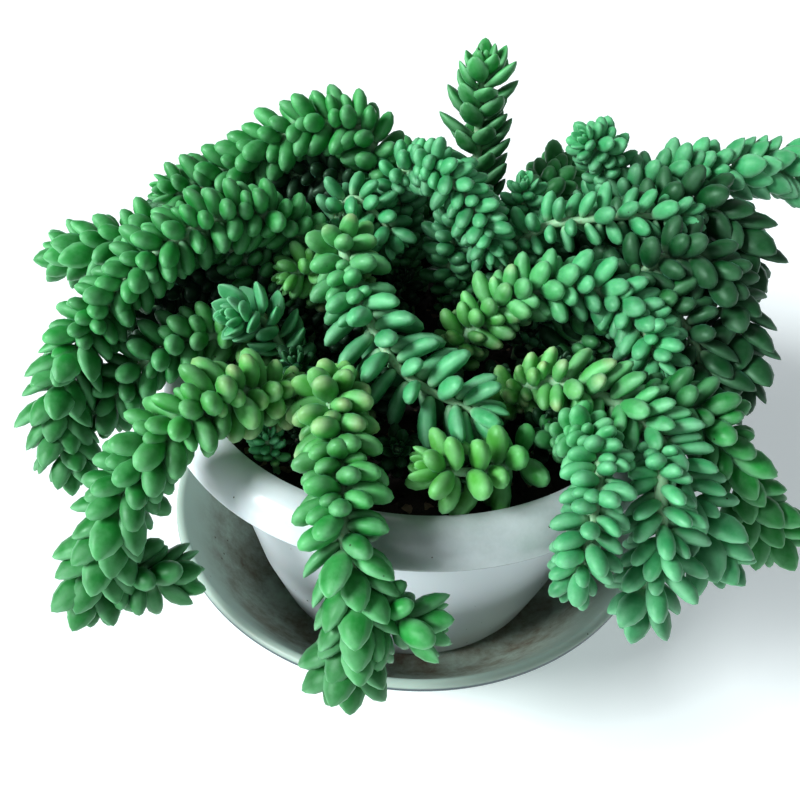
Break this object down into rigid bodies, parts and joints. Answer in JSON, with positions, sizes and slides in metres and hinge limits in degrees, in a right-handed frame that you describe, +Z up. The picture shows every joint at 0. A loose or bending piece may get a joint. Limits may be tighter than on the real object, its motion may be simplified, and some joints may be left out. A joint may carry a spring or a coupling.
{
  "type": "potted burros tail plant",
  "caption": "Trailing succulent with fat leaves in spirals round arching stems, in a round white pot with a broad rim, standing in a deep flared saucer.",
  "frame": {"origin": "middle of the saucer's underside, where it rests on a surface", "axes": "+Z up along the pot's axis; -Y is the front, the side where the longest stems hang over the rim"},
  "size_m": [0.3171, 0.2793, 0.2064],
  "materials": {
    "saucer_plastic": "moulded white polypropylene, satin, with dried soil stains inside",
    "pot_plastic": "moulded white polypropylene, glossy, with a few dark specks of soil",
    "soil": "dark crumbly potting mix",
    "leaf_fresh": "waxy succulent leaf, fresh green with a thin bloom",
    "leaf_lime": "waxy succulent leaf, yellow-green with a thin bloom",
    "leaf_pale": "waxy succulent leaf, pale blue-green with a heavier bloom",
    "leaf_deep": "waxy succulent leaf, dark green, little bloom"
  },
  "bodies": {
    "root": {"saucer": "saucer_plastic", "pot": "pot_plastic", "soil": "soil", "stem_front": "leaf_fresh", "stem_front_left": "leaf_lime", "stem_left_low": "leaf_fresh", "stem_left_far": "leaf_fresh", "stem_left_high": "leaf_fresh", "stem_crest": "leaf_fresh", "stem_centre_top": "leaf_pale", "stem_centre_back": "leaf_pale", "stem_centre_inner": "leaf_pale", "stem_centre": "leaf_lime", "stem_rosette_left": "leaf_pale", "stem_arch_right": "leaf_lime", "stem_right": "leaf_lime", "stem_right_front": "leaf_fresh", "stem_front_right": "leaf_fresh", "stem_right_side": "leaf_deep", "stem_right_side_back": "leaf_deep", "stem_right_top": "leaf_pale", "stem_upright": "leaf_deep", "stem_rosette_back": "leaf_pale", "stem_right_pale": "leaf_pale", "stem_tuft_back": "leaf_pale", "stem_tuft_middle": "leaf_pale", "stem_tuft_inner": "leaf_pale", "stem_right_low": "leaf_deep", "stem_back_left": "leaf_fresh", "stem_back": "leaf_fresh", "stem_back_right": "leaf_deep", "stem_right_back": "leaf_deep", "stem_left_back": "leaf_fresh"}
  },
  "joints": []
}
